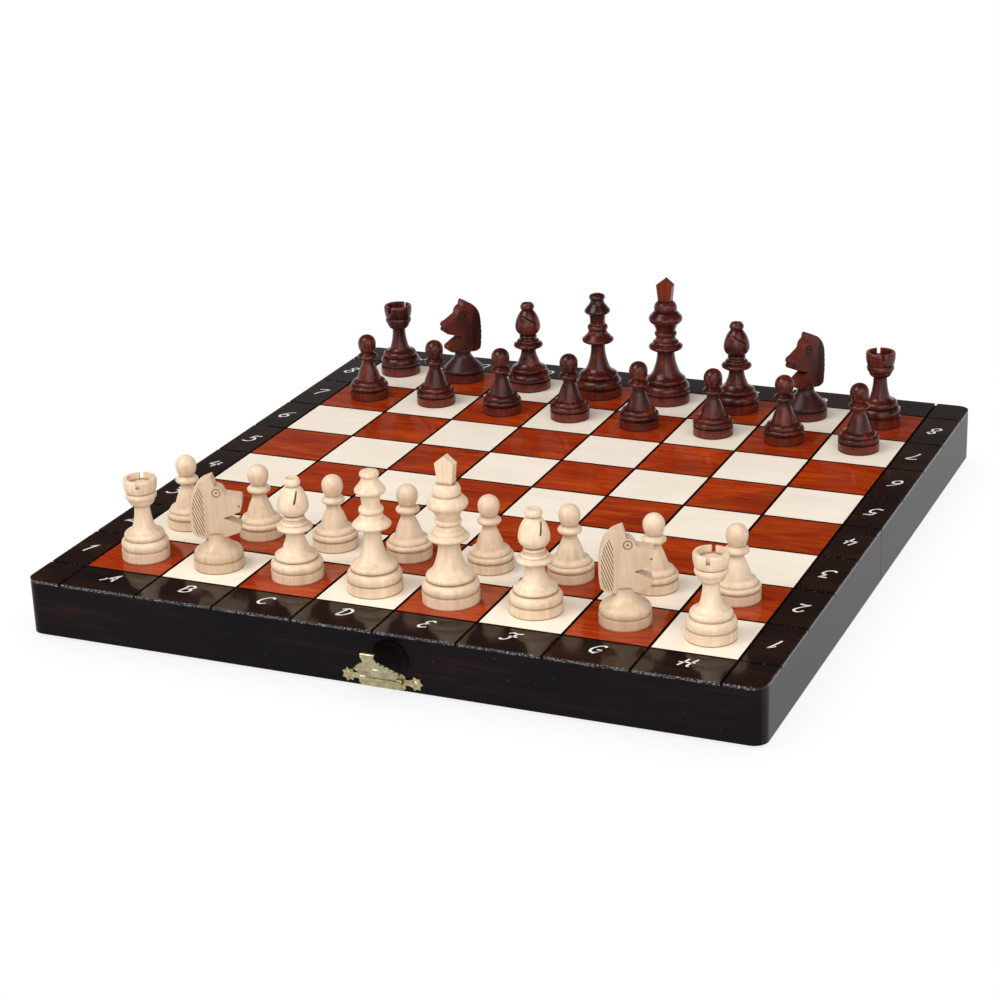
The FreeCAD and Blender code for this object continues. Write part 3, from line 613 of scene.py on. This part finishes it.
def floor():
    """A white floor that is seen as plain white apart from the object's soft shadow."""
    mesh = bpy.data.meshes.new("floor")
    corners = [(-1, -1), (1, -1), (1, 1), (-1, 1)]
    points = [(x * floor_half, y * floor_half, floor_level) for x, y in corners]
    mesh.from_pydata(points, [], [(0, 1, 2, 3)])
    plane = bpy.data.objects.new("floor", mesh)
    bpy.context.scene.collection.objects.link(plane)
    material = bpy.data.materials.new("white_floor")
    material.use_nodes = True
    tree = material.node_tree
    tree.nodes.clear()
    out = tree.nodes.new("ShaderNodeOutputMaterial")
    choose = tree.nodes.new("ShaderNodeMixShader")
    plain = tree.nodes.new("ShaderNodeBsdfDiffuse")
    plain.inputs["Color"].default_value = tone(232, 232, 232)
    seen = tree.nodes.new("ShaderNodeBsdfTransparent")
    shadow = tree.nodes.new("ShaderNodeAmbientOcclusion")
    shadow.inputs["Distance"].default_value = shadow_reach
    shadow.samples = 8
    depth = tree.nodes.new("ShaderNodeMapRange")
    depth.inputs["From Min"].default_value = shadow_span[0]
    depth.inputs["From Max"].default_value = shadow_span[1]
    depth.inputs["To Min"].default_value = shadow_depth
    tree.links.new(shadow.outputs["AO"], depth.inputs["Value"])
    tree.links.new(depth.outputs["Result"], seen.inputs["Color"])
    tree.links.new(white_for_view(tree), choose.inputs["Fac"])
    tree.links.new(plain.outputs[0], choose.inputs[1])
    tree.links.new(seen.outputs[0], choose.inputs[2])
    tree.links.new(choose.outputs[0], out.inputs["Surface"])
    mesh.materials.append(material)


def world():
    """White behind everything, an even soft light, and a dim ceiling for shiny things to mirror."""
    made = bpy.data.worlds.new("studio")
    bpy.context.scene.world = made
    made.use_nodes = True
    tree = made.node_tree
    shade = tree.nodes["Background"]
    way = tree.nodes.new("ShaderNodeTexCoord")
    parts = tree.nodes.new("ShaderNodeSeparateXYZ")
    tree.links.new(way.outputs["Generated"], parts.inputs[0])
    height = tree.nodes.new("ShaderNodeMapRange")
    height.inputs["From Min"].default_value = sky_fade[0]
    height.inputs["From Max"].default_value = sky_fade[1]
    height.inputs["To Min"].default_value = 1.0
    height.inputs["To Max"].default_value = ceiling_share
    tree.links.new(parts.outputs["Z"], height.inputs["Value"])
    path = tree.nodes.new("ShaderNodeLightPath")
    light = sky_light
    mirrored = ("Is Glossy Ray", height.outputs[0])
    for name, colour in (mirrored, ("Is Transmission Ray", None), ("Is Camera Ray", None)):
        pick = tree.nodes.new("ShaderNodeMix")
        pick.data_type = "RGBA"
        tree.links.new(path.outputs[name], pick.inputs[0])
        if isinstance(light, tuple):
            pick.inputs[6].default_value = light
        else:
            tree.links.new(light, pick.inputs[6])
        pick.inputs[7].default_value = plain_white
        if colour:
            tree.links.new(colour, pick.inputs[7])
        light = pick.outputs[2]
    tree.links.new(light, shade.inputs["Color"])


def lamp(name, place, size, power, colour):
    """A square soft light pointed at the board."""
    light = bpy.data.lights.new(name, "AREA")
    light.size = size
    light.energy = power
    light.color = colour
    holder = bpy.data.objects.new(name, light)
    holder.location = place
    holder.rotation_euler = (Vector(lamp_aim) - Vector(place)).to_track_quat("-Z", "Y").to_euler()
    bpy.context.scene.collection.objects.link(holder)


def camera():
    """The photograph's viewpoint."""
    level = math.cos(camera_elevation)
    away = Vector((
        math.sin(camera_azimuth) * level, -math.cos(camera_azimuth) * level, math.sin(camera_elevation)
    ))
    right = Vector((0, 0, 1)).cross(away).normalized()
    up = away.cross(right)
    turned_right = right * math.cos(camera_roll) + up * math.sin(camera_roll)
    turned_up = up * math.cos(camera_roll) - right * math.sin(camera_roll)
    data = bpy.data.cameras.new("camera")
    data.lens = camera_lens_mm
    data.sensor_fit = "HORIZONTAL"
    data.sensor_width = camera_sensor_mm
    data.clip_start = camera_clip
    made = bpy.data.objects.new("camera", data)
    bpy.context.scene.collection.objects.link(made)
    basis = Matrix((turned_right, turned_up, away)).transposed().to_4x4()
    made.matrix_world = Matrix.Translation(camera_target + away * camera_distance) @ basis
    bpy.context.scene.camera = made


floor()
world()
for settings in lamps:
    lamp(*settings)
camera()
bpy.context.scene.view_settings.view_transform = "Standard"
